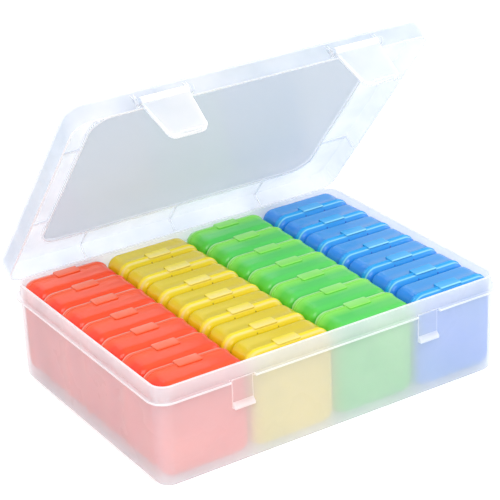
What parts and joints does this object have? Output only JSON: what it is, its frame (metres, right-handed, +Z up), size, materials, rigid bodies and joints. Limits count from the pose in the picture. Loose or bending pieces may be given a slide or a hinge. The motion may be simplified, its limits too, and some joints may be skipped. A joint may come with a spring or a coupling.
{
  "type": "bead storage box",
  "caption": "Clear hinged craft case with two latches, filled with coloured clamshell boxes standing on edge for beads and small parts.",
  "frame": {"origin": "middle of the flat underside of the case base", "axes": "+X along the long side, from the red column to the blue column; -Y towards the latches and lugs, +Y towards the hinge; +Z up"},
  "size_m": [0.215, 0.1689, 0.1807],
  "materials": {
    "clear_case": "milky clear polypropylene, smooth",
    "milky_latch": "milky white polypropylene, smooth",
    "red_box": "translucent orange red polypropylene, smooth",
    "yellow_box": "translucent lemon yellow polypropylene, smooth",
    "green_box": "translucent leaf green polypropylene, smooth",
    "blue_box": "translucent sky blue polypropylene, smooth"
  },
  "bodies": {
    "base": {"case_base": "clear_case"},
    "lid": {"case_lid": "clear_case"},
    "latch_left": {"latch_left": "milky_latch"},
    "latch_right": {"latch_right": "milky_latch"},
    "red_box_1": {"red_box_1_tub": "red_box", "red_box_1_lid": "red_box"},
    "red_box_2": {"red_box_2_tub": "red_box", "red_box_2_lid": "red_box"},
    "red_box_3": {"red_box_3_tub": "red_box", "red_box_3_lid": "red_box"},
    "red_box_4": {"red_box_4_tub": "red_box", "red_box_4_lid": "red_box"},
    "red_box_5": {"red_box_5_tub": "red_box", "red_box_5_lid": "red_box"},
    "red_box_6": {"red_box_6_tub": "red_box", "red_box_6_lid": "red_box"},
    "red_box_7": {"red_box_7_tub": "red_box", "red_box_7_lid": "red_box"},
    "yellow_box_1": {"yellow_box_1_tub": "yellow_box", "yellow_box_1_lid": "yellow_box"},
    "yellow_box_2": {"yellow_box_2_tub": "yellow_box", "yellow_box_2_lid": "yellow_box"},
    "yellow_box_3": {"yellow_box_3_tub": "yellow_box", "yellow_box_3_lid": "yellow_box"},
    "yellow_box_4": {"yellow_box_4_tub": "yellow_box", "yellow_box_4_lid": "yellow_box"},
    "yellow_box_5": {"yellow_box_5_tub": "yellow_box", "yellow_box_5_lid": "yellow_box"},
    "yellow_box_6": {"yellow_box_6_tub": "yellow_box", "yellow_box_6_lid": "yellow_box"},
    "yellow_box_7": {"yellow_box_7_tub": "yellow_box", "yellow_box_7_lid": "yellow_box"},
    "green_box_1": {"green_box_1_tub": "green_box", "green_box_1_lid": "green_box"},
    "green_box_2": {"green_box_2_tub": "green_box", "green_box_2_lid": "green_box"},
    "green_box_3": {"green_box_3_tub": "green_box", "green_box_3_lid": "green_box"},
    "green_box_4": {"green_box_4_tub": "green_box", "green_box_4_lid": "green_box"},
    "green_box_5": {"green_box_5_tub": "green_box", "green_box_5_lid": "green_box"},
    "green_box_6": {"green_box_6_tub": "green_box", "green_box_6_lid": "green_box"},
    "green_box_7": {"green_box_7_tub": "green_box", "green_box_7_lid": "green_box"},
    "blue_box_1": {"blue_box_1_tub": "blue_box", "blue_box_1_lid": "blue_box"},
    "blue_box_2": {"blue_box_2_tub": "blue_box", "blue_box_2_lid": "blue_box"},
    "blue_box_3": {"blue_box_3_tub": "blue_box", "blue_box_3_lid": "blue_box"},
    "blue_box_4": {"blue_box_4_tub": "blue_box", "blue_box_4_lid": "blue_box"},
    "blue_box_5": {"blue_box_5_tub": "blue_box", "blue_box_5_lid": "blue_box"},
    "blue_box_6": {"blue_box_6_tub": "blue_box", "blue_box_6_lid": "blue_box"},
    "blue_box_7": {"blue_box_7_tub": "blue_box", "blue_box_7_lid": "blue_box"}
  },
  "joints": [
    {"name": "lid_hinge", "type": "hinge", "parent": "base", "child": "lid", "pos_m": [0, 0.0837, 0.047], "axis": [-1, 0, 0], "range_deg": [-51, 129]},
    {"name": "latch_left_hinge", "type": "hinge", "parent": "lid", "child": "latch_left", "pos_m": [-0.0575, -0.01684, 0.17815], "axis": [-1, 0, 0], "range_deg": [-12.5, 80]},
    {"name": "latch_right_hinge", "type": "hinge", "parent": "lid", "child": "latch_right", "pos_m": [0.0575, -0.01684, 0.17815], "axis": [-1, 0, 0], "range_deg": [-12.5, 80]},
    {"name": "red_box_1_lift", "type": "slide", "parent": "base", "child": "red_box_1", "axis": [0, 0, 1], "range_m": [0, 0.056]},
    {"name": "red_box_2_lift", "type": "slide", "parent": "base", "child": "red_box_2", "axis": [0, 0, 1], "range_m": [0, 0.056]},
    {"name": "red_box_3_lift", "type": "slide", "parent": "base", "child": "red_box_3", "axis": [0, 0, 1], "range_m": [0, 0.056]},
    {"name": "red_box_4_lift", "type": "slide", "parent": "base", "child": "red_box_4", "axis": [0, 0, 1], "range_m": [0, 0.056]},
    {"name": "red_box_5_lift", "type": "slide", "parent": "base", "child": "red_box_5", "axis": [0, 0, 1], "range_m": [0, 0.056]},
    {"name": "red_box_6_lift", "type": "slide", "parent": "base", "child": "red_box_6", "axis": [0, 0, 1], "range_m": [0, 0.042]},
    {"name": "red_box_7_lift", "type": "slide", "parent": "base", "child": "red_box_7", "axis": [0, 0, 1], "range_m": [0, 0.016]},
    {"name": "yellow_box_1_lift", "type": "slide", "parent": "base", "child": "yellow_box_1", "axis": [0, 0, 1], "range_m": [0, 0.056]},
    {"name": "yellow_box_2_lift", "type": "slide", "parent": "base", "child": "yellow_box_2", "axis": [0, 0, 1], "range_m": [0, 0.056]},
    {"name": "yellow_box_3_lift", "type": "slide", "parent": "base", "child": "yellow_box_3", "axis": [0, 0, 1], "range_m": [0, 0.056]},
    {"name": "yellow_box_4_lift", "type": "slide", "parent": "base", "child": "yellow_box_4", "axis": [0, 0, 1], "range_m": [0, 0.056]},
    {"name": "yellow_box_5_lift", "type": "slide", "parent": "base", "child": "yellow_box_5", "axis": [0, 0, 1], "range_m": [0, 0.056]},
    {"name": "yellow_box_6_lift", "type": "slide", "parent": "base", "child": "yellow_box_6", "axis": [0, 0, 1], "range_m": [0, 0.042]},
    {"name": "yellow_box_7_lift", "type": "slide", "parent": "base", "child": "yellow_box_7", "axis": [0, 0, 1], "range_m": [0, 0.016]},
    {"name": "green_box_1_lift", "type": "slide", "parent": "base", "child": "green_box_1", "axis": [0, 0, 1], "range_m": [0, 0.056]},
    {"name": "green_box_2_lift", "type": "slide", "parent": "base", "child": "green_box_2", "axis": [0, 0, 1], "range_m": [0, 0.056]},
    {"name": "green_box_3_lift", "type": "slide", "parent": "base", "child": "green_box_3", "axis": [0, 0, 1], "range_m": [0, 0.056]},
    {"name": "green_box_4_lift", "type": "slide", "parent": "base", "child": "green_box_4", "axis": [0, 0, 1], "range_m": [0, 0.056]},
    {"name": "green_box_5_lift", "type": "slide", "parent": "base", "child": "green_box_5", "axis": [0, 0, 1], "range_m": [0, 0.056]},
    {"name": "green_box_6_lift", "type": "slide", "parent": "base", "child": "green_box_6", "axis": [0, 0, 1], "range_m": [0, 0.042]},
    {"name": "green_box_7_lift", "type": "slide", "parent": "base", "child": "green_box_7", "axis": [0, 0, 1], "range_m": [0, 0.016]},
    {"name": "blue_box_1_lift", "type": "slide", "parent": "base", "child": "blue_box_1", "axis": [0, 0, 1], "range_m": [0, 0.056]},
    {"name": "blue_box_2_lift", "type": "slide", "parent": "base", "child": "blue_box_2", "axis": [0, 0, 1], "range_m": [0, 0.056]},
    {"name": "blue_box_3_lift", "type": "slide", "parent": "base", "child": "blue_box_3", "axis": [0, 0, 1], "range_m": [0, 0.056]},
    {"name": "blue_box_4_lift", "type": "slide", "parent": "base", "child": "blue_box_4", "axis": [0, 0, 1], "range_m": [0, 0.056]},
    {"name": "blue_box_5_lift", "type": "slide", "parent": "base", "child": "blue_box_5", "axis": [0, 0, 1], "range_m": [0, 0.056]},
    {"name": "blue_box_6_lift", "type": "slide", "parent": "base", "child": "blue_box_6", "axis": [0, 0, 1], "range_m": [0, 0.042]},
    {"name": "blue_box_7_lift", "type": "slide", "parent": "base", "child": "blue_box_7", "axis": [0, 0, 1], "range_m": [0, 0.016]}
  ]
}
